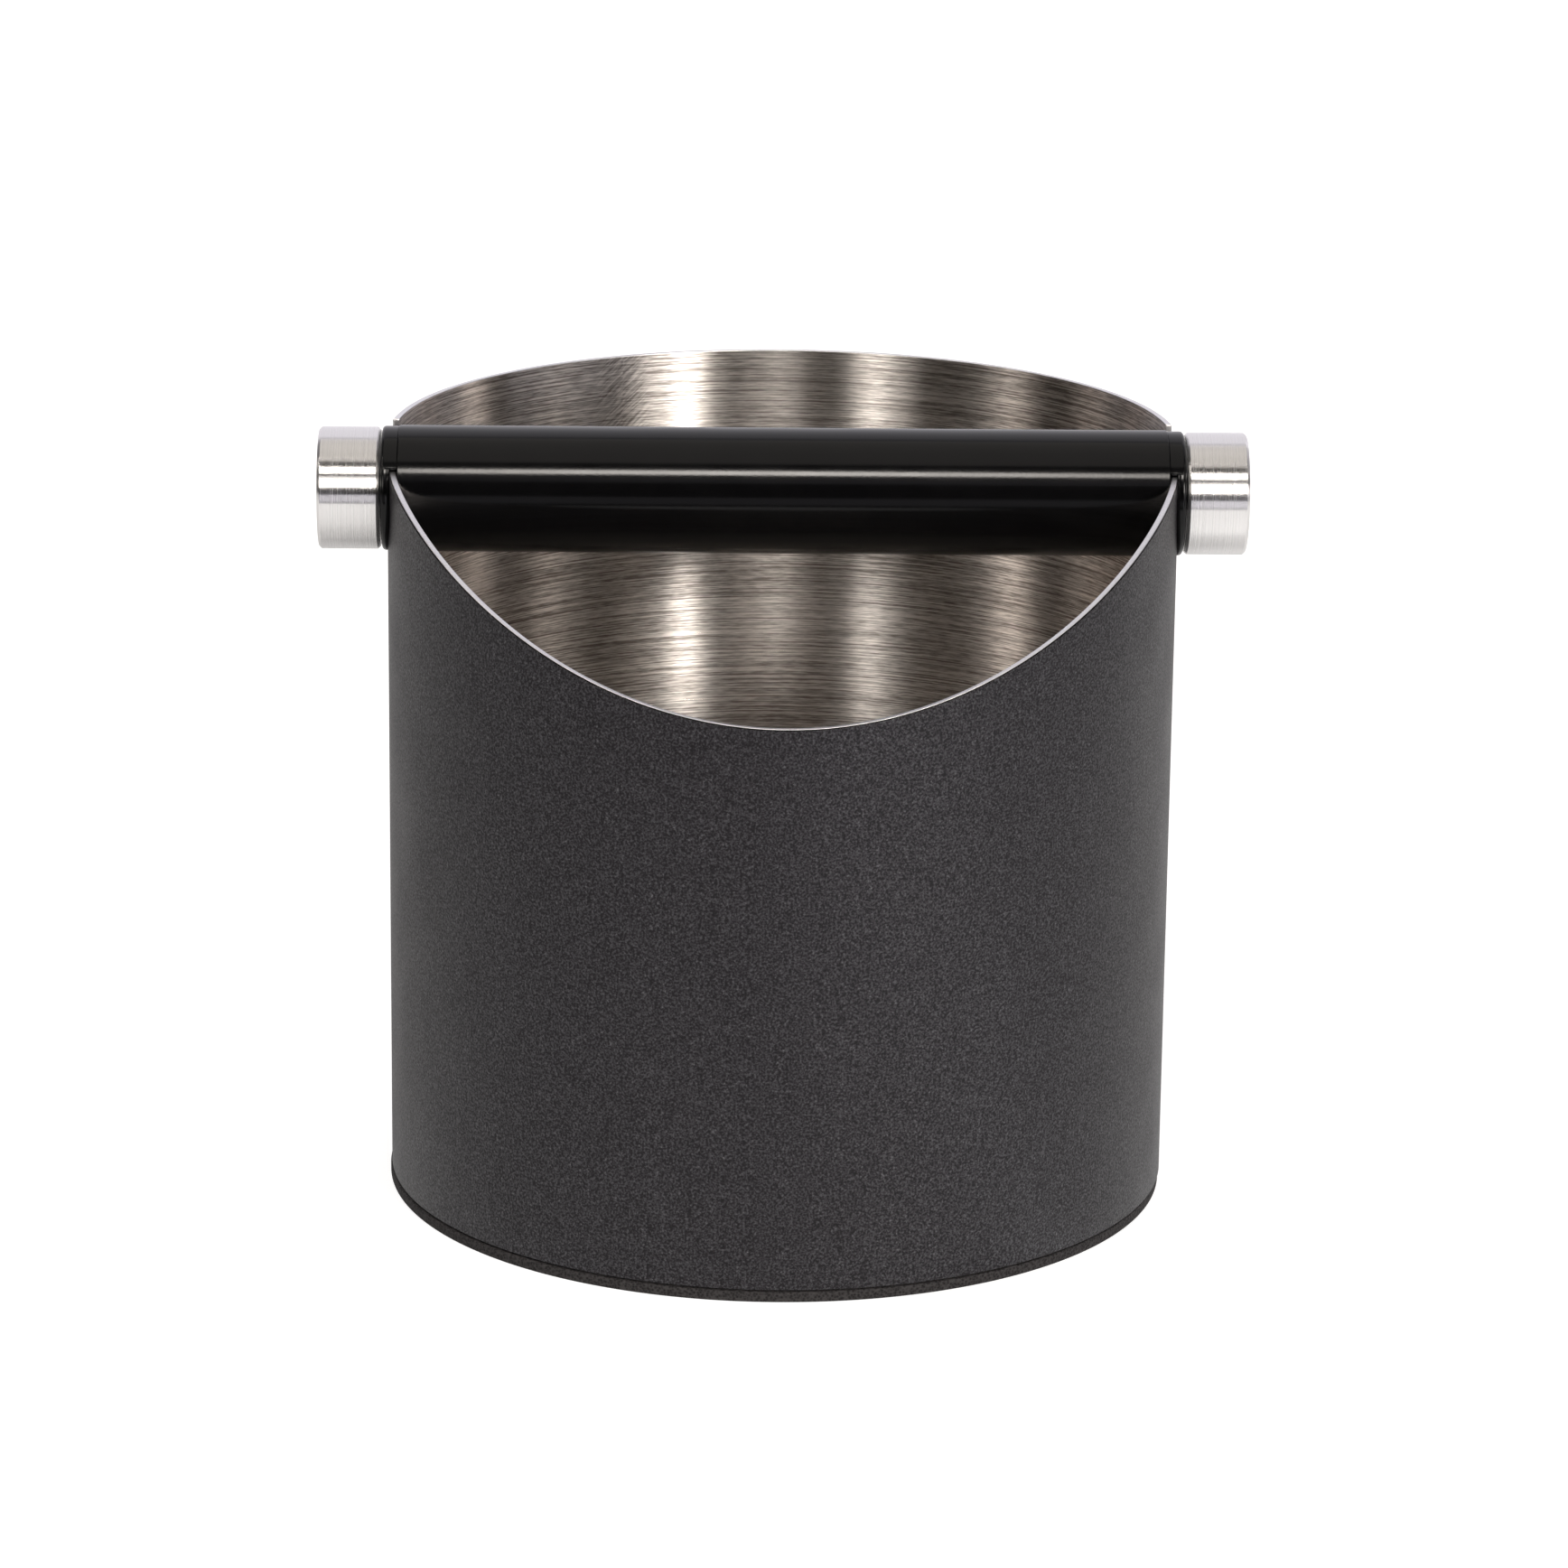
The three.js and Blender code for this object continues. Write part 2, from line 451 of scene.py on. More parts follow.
def brushed_about(tree: NodeTree, axis: Axis, anisotropy: float) -> dict:
    """Give the shader inputs of steel whose marks run round an axis.

    Args:
        tree: the node tree.
        axis: the axis.
        anisotropy: how much wider the light spreads across the marks than along them.

    Returns:
        The inputs. A quarter of a turn lays the highlight across the marks.
    """
    round_axis = {"direction_type": "RADIAL", "axis": axis.value.upper()}
    tangent = add(tree, "ShaderNodeTangent", **round_axis)
    return {"Anisotropic": anisotropy, "Anisotropic Rotation": 0.25, "Tangent": tangent}


@dataclass(frozen=True)
class PowderCoat:
    """Polyester powder coat, sprayed and baked: matt anthracite with a fine pebbled skin."""

    dark: str = "121012"
    light: str = "1e1b1f"
    # Painted highlight: the highest pebbles are coloured light grey, as if they caught the light
    painted_glint: str = "5c5b5d"
    painted_glint_reach: tuple = (0.68, 0.8)  # pebbles this high get the painted highlight, a glint of light painted into the colour
    sheen: str = "f5f5fa"
    pebble: float = 0.4  # mm, a little coarser than the real grain, so that it shows
    swell: float = 14.0  # mm, slow unevenness of the film
    relief: float = 0.05  # mm
    roughness: float = 0.44
    wear: float = 0.03  # of the roughness, each way
    gloss_reach: tuple = (0.42, 0.72)  # pebbles from the dull pits to the bright crests
    pit_specular: float = 0.21
    crest_specular: float = 1.05

    def build(self) -> Material:
        """Make the material: pebbles tint, gloss and raise the film, and the highest get a painted
        highlight.
        """
        material, tree, place = new_material("powder_coat_anthracite")
        pebbles = marks(tree, place, self.pebble, roughness=0.6)
        swells = marks(tree, place, self.swell)
        film = shaded(tree, pebbles, self.dark, self.light, BROAD)
        gloss = ramp(pebbles, *self.gloss_reach, self.pit_specular, self.crest_specular)
        coat = {
            "Base Color": shaded(tree, pebbles, film, self.painted_glint, self.painted_glint_reach),
            "Roughness": self.roughness,
            "Specular IOR Level": add(tree, "ShaderNodeMapRange", gloss),
            "Specular Tint": linear(self.sheen),
        }
        relief = {"Height": pebbles, "Distance": self.relief}
        surfaced(tree, swells, coat, relief, self.wear, BROAD)
        return material


@dataclass(frozen=True)
class BrushedSheet:
    """Stainless sheet brushed round the bin: long fine scratches that spread light up and down."""

    girth: float  # mm round the wall, so that both ends of the UV map are the weld seam
    top: float  # mm, height of the rear rim
    bright: str = "faf4ef"
    dull: str = "8f8781"
    tint_reach: tuple = (0.42, 0.58)
    scratch_length: float = 60.0  # mm
    scratch_pitch: float = 0.32  # mm, coarser than the real grit marks, so that they show
    hair_pitch: float = 0.22  # mm, the finest marks
    hair_share: float = 0.5  # of the brushing's tint and relief
    grain_length: float = 3.2  # mm, where a mark begins or ends
    grain_pitch: float = 0.3  # mm
    grain_share: float = 0.3  # of the tint
    seam_width: float = 13.0  # mm, the band where the weld was ground flush
    seam_core: float = 0.4  # share of the band's half width where the grinding is at its full
    seam_reach: float = 28.0  # mm below the rim, where the grinding runs out
    seam_share: float = 0.6  # share of the brushing that the grinding replaces
    grinding_size: tuple = (5.0, 0.5, 1.0)  # mm along a mark, across it and into the sheet
    grinding_angle: float = 38.0  # degrees from the brushing
    mark_relief: float = 0.01  # mm
    grain_relief: float = 0.004  # mm
    detail_roughness: float = 0.6
    roughness: float = 0.33
    wear: float = 0.06  # of the roughness, each way
    anisotropy: float = 1.0

    def seam(self, tree: NodeTree, place: Feed) -> Node:
        """Mask the ground band: near the seam, at both ends of the girth, and near the rim.

        Args:
            tree: the node tree.
            place: a place on the unrolled sheet.

        Returns:
            The grinding's share.
        """
        split = add(tree, "ShaderNodeSeparateXYZ", {"Vector": place}).outputs
        rest = {0: self.girth * MM, 1: split["X"]}
        back = add(tree, "ShaderNodeMath", rest, operation="SUBTRACT")
        nearer = {0: split["X"], 1: back}
        away = add(tree, "ShaderNodeMath", nearer, operation="MINIMUM")
        half = self.seam_width / 2 * MM
        band = ramp(away, half, half * self.seam_core, high=self.seam_share)
        end = (self.top - self.seam_reach) * MM
        run_out = ramp(split["Y"], end, end + self.seam_reach / 2 * MM)
        beside = add(tree, "ShaderNodeMapRange", band)
        below = add(tree, "ShaderNodeMapRange", run_out)
        both = {0: beside, 1: below}
        return add(tree, "ShaderNodeMath", both, operation="MULTIPLY")

    def build(self) -> Material:
        """Make the material: scratches, hairs and short grain, and grinding across the seam."""
        material, tree, place = new_material("stainless_sheet_brushed")
        long, short, fine = self.scratch_length, self.grain_length, self.detail_roughness
        scratches = marks(tree, place, (long, long, self.scratch_pitch), roughness=fine)
        hairs = marks(tree, place, (long / 2, long / 2, self.hair_pitch), roughness=fine)
        grain = marks(tree, place, (short, short, self.grain_pitch), roughness=fine)
        unrolled = add(tree, "ShaderNodeUVMap", uv_map="surface")
        aslant = {"Vector": unrolled, "Rotation": (0, 0, math.radians(self.grinding_angle))}
        straight = add(tree, "ShaderNodeMapping", aslant)
        grinding = marks(tree, straight, self.grinding_size, roughness=fine)
        seam = self.seam(tree, unrolled)
        brushing = {0: self.hair_share, 2: scratches, 3: hairs}
        both = add(tree, "ShaderNodeMix", brushing)
        lines = add(tree, "ShaderNodeMix", {0: seam, 2: both, 3: grinding})
        toned = add(tree, "ShaderNodeMix", {0: self.grain_share, 2: lines, 3: grain})
        ground = add(tree, "ShaderNodeMix", {0: seam, 2: grain, 3: grinding})
        furrows = {"Height": both, "Strength": 1.0, "Distance": self.mark_relief * MM}
        furrowed = add(tree, "ShaderNodeBump", furrows)
        metal = {
            "Base Color": shaded(tree, toned, self.dull, self.bright, self.tint_reach),
            "Metallic": 1.0,
            "Roughness": self.roughness,
            **brushed_about(tree, Axis.Z, self.anisotropy),
        }
        relief = {"Height": ground, "Distance": self.grain_relief, "Normal": furrowed}
        surfaced(tree, lines, metal, relief, -self.wear, BROAD)
        return material


@dataclass(frozen=True)
class CutEdge:
    """The laser-cut and deburred edge of the sheet: bright bare steel with a fine tooth."""

    name: str = "stainless_sheet_cut_edge"
    bright: str = "f4f3f4"
    dull: str = "cfcdd0"
    mark: float | tuple = 0.35  # mm
    detail: float = 2.0  # octaves of finer marks
    detail_roughness: float = 0.5
    relief: float = 0.01  # mm
    strength: float = 0.6  # share of the relief that shows
    roughness: float = 0.34
    wear: float = 0.0  # of the roughness, each way

    def build(self) -> Material:
        """Make the material: marks tint, smooth and raise the bare metal."""
        material, tree, place = new_material(self.name)
        tooth = marks(tree, place, self.mark, self.detail, self.detail_roughness)
        metal = {
            "Base Color": shaded(tree, tooth, self.dull, self.bright),
            "Metallic": 1.0,
            "Roughness": self.roughness,
        }
        relief = {"Height": tooth, "Strength": self.strength, "Distance": self.relief}
        surfaced(tree, tooth, metal, relief, -self.wear)
        return material


@dataclass(frozen=True)
class PaintedShadeSheet(CutEdge):
    """Painted shade: the bare strip of sheet between the coat and the cut edge, and the sheet's
    underside, coloured dark for the shaded line there.
    """

    name: str = "stainless_sheet_heat_tinted"
    # Painted shade: dark colours for the shaded line below the coat's edge
    bright: str = "2c2827"
    dull: str = "171514"


@dataclass(frozen=True)
class FloorSteel(CutEdge):
    """Stainless sheet brushed straight across, as the blank of the floor disc is."""

    name: str = "stainless_floor_brushed"
    bright: str = "bdb8b2"
    dull: str = "948f89"
    mark: float | tuple = (30.0, 0.6, 0.6)  # mm, drawn out along X
    detail: float = 3.0
    detail_roughness: float = 0.65
    relief: float = 0.006  # mm
    strength: float = 1.0
    roughness: float = 0.4
    wear: float = 0.1


@dataclass(frozen=True)
class TurnedSteel:
    """Stainless bar turned on a lathe: fine grooves round the axis spread light along it."""

    bright: str = "f2f1f0"
    dull: str = "dedbda"
    groove: float = 0.22  # mm, coarser than the real feed marks, so that they show
    relief: float = 0.03  # mm
    roughness: float = 0.25
    wear: float = 0.08  # of the roughness, each way
    anisotropy: float = 1.0

    def build(self) -> Material:
        """Make the material: a pattern of (place on X plus distance from the bar's axis).

        The sum runs along the cylinder on its side and along the radius on its end face, so the
        grooves are rings on both.
        """
        material, tree, place = new_material("stainless_bar_turned")
        split = add(tree, "ShaderNodeSeparateXYZ", {"Vector": place}).outputs
        above = {0: split["Z"], 1: bar_height() * MM}
        rise = add(tree, "ShaderNodeMath", above, operation="SUBTRACT")
        flat = add(tree, "ShaderNodeCombineXYZ", {"Y": split["Y"], "Z": rise})
        away = add(tree, "ShaderNodeVectorMath", {0: flat}, operation="LENGTH").outputs["Value"]
        across = add(tree, "ShaderNodeMath", {0: split["X"]}, operation="ABSOLUTE")
        run = add(tree, "ShaderNodeMath", {0: across, 1: away}, operation="ADD")
        rings = {"W": run, "Scale": 1 / (self.groove * MM), "Detail": 2.0, "Roughness": 0.7}
        grooves = add(tree, "ShaderNodeTexNoise", rings, noise_dimensions="1D")
        metal = {
            "Base Color": shaded(tree, grooves, self.dull, self.bright),
            "Metallic": 1.0,
            "Roughness": self.roughness,
            **brushed_about(tree, Axis.X, self.anisotropy),
        }
        relief = {"Height": grooves, "Distance": self.relief}
        surfaced(tree, grooves, metal, relief, -self.wear)
        return material


@dataclass(frozen=True)
class BlackRubber:
    """Black nitrile rubber, extruded or moulded: nearly black, with a satin gloss."""

    colour: str = "060607"
    bloom: str = "0b0b0c"
    cloud: float = 6.0  # mm, faint patches of bloom
    skin: float = 0.5  # mm, the slight orange peel of the skin
    relief: float = 0.004  # mm
    roughness: float = 0.135
    wear: float = 0.03  # of the roughness, each way
    specular: float = 0.22

    def build(self) -> Material:
        """Make the material: slow clouds tint and roughen it, and a fine skin raises it."""
        material, tree, place = new_material("nitrile_rubber_sleeve")
        clouds = marks(tree, place, self.cloud, detail=3.0)
        gloss = {
            "Base Color": shaded(tree, clouds, self.colour, self.bloom),
            "Roughness": self.roughness,
            "Specular IOR Level": self.specular,
        }
        skin = {"Height": marks(tree, place, self.skin, detail=1.0), "Distance": self.relief}
        surfaced(tree, clouds, gloss, skin, self.wear)
        return material


@dataclass(frozen=True)
class FoamRubber:
    """Closed-cell foam rubber cut from sheet: matt, with opened cells as specks, grey webs round
    middles darkened with painted shade.
    """

    # Painted shade: the middles of the opened cells are coloured near black, as if shaded
    painted_pit_shade: str = "0b0a0b"
    web: str = "3c3a3b"
    cell: float = 0.5  # mm
    cell_reach: tuple = (0.1, 0.75)  # from a cell's middle to its web, in cells
    relief: float = 0.08  # mm
    roughness: float = 0.85
    specular: float = 0.25

    def build(self) -> Material:
        """Make the material: cells sink and take painted shade in their middles, and the webs
        between them stay grey.
        """
        material, tree, place = new_material("foam_rubber_black")
        spaced = {"Vector": place, "Scale": 1 / (self.cell * MM)}
        cells = add(tree, "ShaderNodeTexVoronoi", spaced)
        webs = add(tree, "ShaderNodeMapRange", ramp(cells, *self.cell_reach))
        matt = {
            "Base Color": shaded(tree, webs, self.painted_pit_shade, self.web),
            "Roughness": self.roughness,
            "Specular IOR Level": self.specular,
        }
        surfaced(tree, webs, matt, {"Height": webs, "Distance": self.relief})
        return material


# The bin


@dataclass(frozen=True)
class RimCut:
    """The cut edge of the rolled sheet, drawn on the unrolled wall, in millimetres.

    The path runs anticlockwise seen from above, from the weld seam along the level rear, through
    the left notch, along the scooped front, through the right notch and back to the seam.
    """

    radius: float  # outside of the wall
    level: float  # height of the rear rim
    base: float  # height of the sheet's lower edge
    seat: float  # height of the bar's axis
    scoop_radius: float = 100.0
    scoop_depth: float = 36.3
    notch_width: float = 18.0
    seam_angle: float = 115.0  # degrees from +X
    corner: float = 0.25  # width of the Gaussian that takes the sharpness off the corners
    sample: float = 0.1  # spacing of the points that the path is worked out on
    column: float = 1.0  # spacing of the mesh's columns on a straight run
    column_turn: float = 5.0  # degrees that the path turns from column to column
    side_points: int = 80  # points that draw a straight side of a notch
    notch_points: int = 240  # its half circle
    scoop_points: int = 1200  # and the scoop
    rows: int = 16  # rows of points up a face of the wall
    bend_steps: int = 4  # faces across a rounding

    def scoop(self, angle: np.ndarray) -> np.ndarray:
        """Height of the scooped rim: an arc of the scoop's radius, seen from the front.

        Args:
            angle: from +X towards +Y, in radians.

        Returns:
            The height at each angle.
        """
        across = self.radius * np.cos(angle)
        centre = self.level - self.scoop_depth + self.scoop_radius
        return centre - np.sqrt(self.scoop_radius**2 - across**2)

    def notch(self, centre: float, first: float, last: float) -> np.ndarray:
        """A U on the unrolled wall: down from one height, round the half circle, up to another.

        Args:
            centre: angle of the notch's middle.
            first: height where the path enters.
            last: height where it leaves.

        Returns:
            Rows of (angle, height).
        """
        half = self.notch_width / 2
        side = math.asin(half / self.radius)
        count = self.side_points
        enter = np.stack([np.full(count, centre - side), np.linspace(first, self.seat, count)], -1)
        turn = np.linspace(-math.pi, 0, self.notch_points)
        across = centre + np.arcsin(half * np.cos(turn) / self.radius)
        bottom = np.stack([across, self.seat + half * np.sin(turn)], -1)
        leave = np.stack([np.full(count, centre + side), np.linspace(self.seat, last, count)], -1)
        return np.concatenate([enter, bottom, leave])

    def path(self) -> tuple[np.ndarray, np.ndarray, np.ndarray]:
        """Work out the rim, the way into the sheet and the foot of each column.

        The path is sampled evenly, smoothed by a Gaussian round its whole length, and sampled
        again by length plus turning. The feet divide each quarter of the wall's lower edge in the
        shares in which the rim above it is divided, so the columns spread below a notch.

        Returns:
            The rim as (place round the wall, height), unit vectors into the sheet, and places of
            the feet round the wall, each with one entry to a column.
        """
        side = math.asin(self.notch_width / 2 / self.radius)
        tip = float(self.scoop(np.array(math.pi + side)))
        start = math.radians(self.seam_angle)
        end = start + 2 * math.pi
        front = np.linspace(math.pi + side, 2 * math.pi - side, self.scoop_points)
        corners = np.concatenate(
            [
                [[start, self.level]],
                self.notch(math.pi, self.level, tip),
                np.stack([front, self.scoop(front)], -1),
                self.notch(2 * math.pi, tip, self.level),
                [[end, self.level]],
            ]
        ) * np.array([self.radius, 1.0])
        run = np.concatenate([[0], np.cumsum(np.linalg.norm(np.diff(corners, axis=0), axis=1))])
        count = int(run[-1] / self.sample)
        places = np.linspace(0, run[-1], count, endpoint=False)
        girth = 2 * math.pi * self.radius
        trend = girth * places / run[-1]
        around = self.smooth(np.interp(places, run, corners[:, 0]) - trend) + trend
        height = self.smooth(np.interp(places, run, corners[:, 1]))
        ahead = np.roll(around, -1) - np.roll(around, 1)
        ahead[[0, -1]] += girth
        tangent = np.stack([ahead, np.roll(height, -1) - np.roll(height, 1)], -1)
        tangent /= np.linalg.norm(tangent, axis=1, keepdims=True)
        heading = np.unwrap(np.arctan2(tangent[:, 1], tangent[:, 0]))
        turning = np.abs(np.gradient(heading)) / math.radians(self.column_turn)
        measure = np.concatenate([[0], np.cumsum(self.sample / self.column + turning)])
        even = np.linspace(0, measure[-1], int(measure[-1]), endpoint=False)
        stations = np.interp(even, measure, np.arange(count + 1))
        index = np.arange(count)
        rim = np.stack([np.interp(stations, index, around), np.interp(stations, index, height)], -1)
        bearing = np.interp(stations, index, heading)
        inward = np.stack([np.sin(bearing), -np.cos(bearing)], -1)
        quarters = np.radians([180, 270, 360])
        above = np.interp(quarters, around / self.radius, places)
        known = np.concatenate([[start], quarters, [end]]) * self.radius
        divided = np.concatenate([[0], above, [run[-1]]])
        feet = np.interp(stations * run[-1] / count, divided, known)
        return rim, inward, feet

    def smooth(self, values: np.ndarray) -> np.ndarray:
        """Convolve values that go round with a Gaussian of the corner's width, cut off at four.

        Args:
            values: one to a sample.

        Returns:
            The smoothed values, as many.
        """
        reach = int(4 * self.corner / self.sample)
        weights = np.exp(-0.5 * (np.arange(-reach, reach + 1) * self.sample / self.corner) ** 2)
        padded = np.concatenate([values[-reach:], values, values[:reach]])
        return np.convolve(padded, weights / weights.sum(), "valid")

    def wall(
        self, outer: float, inner: float, setback: float, edge: float, foot: float
    ) -> tuple[np.ndarray, np.ndarray, np.ndarray]:
        """Carry the section of a wall along the rim.

        The section goes up the outside, round and across the cut edge, down the inside and back
        under. A point is (1 - share) times the rim moved into the sheet by an inset, plus share
        times the foot raised by a rise, rolled up to its own radius.

        Args:
            outer: radius of the outside.
            inner: radius of the inside.
            setback: distance of this wall's edge below the cut.
            edge: radius of the rounding at the cut edge.
            foot: radius of the rounding at the lower edge.

        Returns:
            Points (columns, rows, 3), their UV map, and the band of each row: 0 outside, 1 on
            the cut edge, 2 inside and 3 underneath.
        """
        bend = np.linspace(0, math.pi / 2, self.bend_steps + 1)
        down = np.linspace(0, 1, self.rows)
        sine, cosine = 1 - np.sin(bend), 1 - np.cos(bend)
        full = setback + edge
        # Each run of the section: radius, inset from the rim, share of the way down, rise, band
        runs = [
            (outer, full, down[::-1], foot, 0),
            (outer - edge * cosine[1:], setback + edge * sine[1:], 0, 0, 1),
            (inner + edge * cosine[:0:-1], setback + edge * sine[:0:-1], 0, 0, 1),
            (inner, full, down, foot, 2),
            (inner + foot * cosine[1:], full, 1, foot * sine[1:], 3),
            (outer - foot * cosine[:0:-1], full, 1, foot * sine[:0:-1], 3),
        ]
        section = [np.stack(np.broadcast_arrays(*run)) for run in runs]
        radius, inset, share, lift, bands = np.concatenate(section, axis=1)
        rim, inward, feet = self.path()
        top = rim[:, None] + inset[None, :, None] * inward[:, None]
        bottom = np.stack(np.broadcast_arrays(feet[:, None], self.base + lift[None, :]), -1)
        flat = top + share[None, :, None] * (bottom - top)
        angle = flat[..., 0] / self.radius
        points = np.stack([radius * np.cos(angle), radius * np.sin(angle), flat[..., 1]], -1)
        start = math.radians(self.seam_angle) * self.radius
        uv = flat - np.array([start, 0.0])
        uv = np.concatenate([uv, uv[:1] + np.array([2 * math.pi * self.radius, 0.0])])
        uv = np.concatenate([uv, uv[:, :1]], axis=1) * MM
        return points, uv, bands.astype(int)


@dataclass
class Bin:
    """The bin: one rolled and seam-welded sheet, its coat, the welded floor and the foam pad."""

    sheet: float = 1.2  # thickness
    coat: float = 0.12  # film of the coat
    coat_gap: float = 0.01  # between the coat and the sheet
    coat_setback: float = 0.3  # strip below the cut edge that the coat leaves bare, coloured dark as painted shade
    coat_round: float = 0.054  # a little less than half its film
    edge_round: float = 0.17
    foot_round: float = 0.3
    floor_gap: float = 0.02  # between the floor and the wall
    weld: float = 0.9  # leg of the weld between floor and wall
    weld_margin: float = 0.45  # ring of floor beside the weld
    weld_steps: int = 8
    pad_round: float = 0.35
    pad_shift: float = 0.25  # the pad is stuck on slightly to the left of the middle
    glue: float = 0.45  # film of glue between the pad and the sheet
    glue_inset: float = 1.0  # how far the film stops short of the pad's edge
    steps: int = 288
    rim: RimCut = field(init=False)
    radius: float = field(init=False)

    def __post_init__(self) -> None:
        """Take the places that other pieces share from the frame."""
        low, high = extent("body_shell")
        self.radius = extent("base_pad")[1][0]
        self.rim = RimCut(self.radius, high[2], low[2], bar_height())

    def build(self) -> None:
        """Make and dress the pieces of the bin."""
        self.build_sheet()
        self.build_coat()
        self.build_floor()
        self.build_pad()

    def build_sheet(self) -> None:
        """Bare steel sheet: a wall with a rounded cut edge, brushed on its inside."""
        outer = self.radius - self.coat - self.coat_gap
        inner = self.radius - self.sheet
        points, uv, bands = self.rim.wall(outer, inner, 0.0, self.edge_round, self.foot_round)
        brushed = BrushedSheet(2 * math.pi * self.radius, self.rim.level)
        finishes = [finish.build() for finish in (brushed, CutEdge(), PaintedShadeSheet())]
        # Painted shade outside and underneath, cut edge at the rim, brushed inside
        piece = grid_mesh("bin_sheet", points, (True, True), uv, np.choose(bands, [2, 1, 0, 2]))
        dress(piece, finishes, Body.BIN, Slot.BRUSHED, "body_shell")

    def build_coat(self) -> None:
        """Powder coat: a thin skin on the outside that stops just below the cut edge."""
        inner, size = self.radius - self.coat, self.coat_round
        points, uv, _ = self.rim.wall(self.radius, inner, self.coat_setback, size, size)
        piece = grid_mesh("bin_powder_coat", points, (True, True), uv)
        dress(piece, [PowderCoat().build()], Body.BIN, Slot.COAT, "body_shell")

    def build_floor(self) -> None:
        """Floor disc with the concave weld that joins it to the wall, turned about Z."""
        base, top = (corner[2] for corner in extent("floor_disc"))
        wall = self.radius - self.sheet - self.floor_gap
        toe = wall - self.weld
        weld_arc = quarter(toe, top + self.weld, self.weld, 3.0, self.weld_steps)[::-1]
        margin = (toe - self.weld_margin, top)
        profile = outline((0, base), (wall, base), weld_arc, margin, (0, top))
        piece = turned("bin_floor", profile, Axis.Z, self.steps, (0, 0, 0))
        dress(piece, [FloorSteel().build()], Body.BIN, Slot.BRUSHED, "floor_disc")

    def build_pad(self) -> None:
        """Foam rubber pad: a disc with softly rounded edges, turned about Z."""
        top, size = extent("base_pad")[1][2], self.pad_round
        radius, face = self.radius - size, top - self.glue
        film = self.radius - self.glue_inset
        profile = outline(
            (0, 0),
            quarter(radius, size, size, -1.0),
            quarter(radius, face - size, size, 0.0),
            (film, face),
            (film, top),
            (0, top),
        )
        piece = turned("base_pad_foam", profile, Axis.Z, self.steps, (-self.pad_shift, 0, 0))
        dress(piece, [FoamRubber().build()], Body.BIN, Slot.FOAM, "base_pad")


# The knock bar


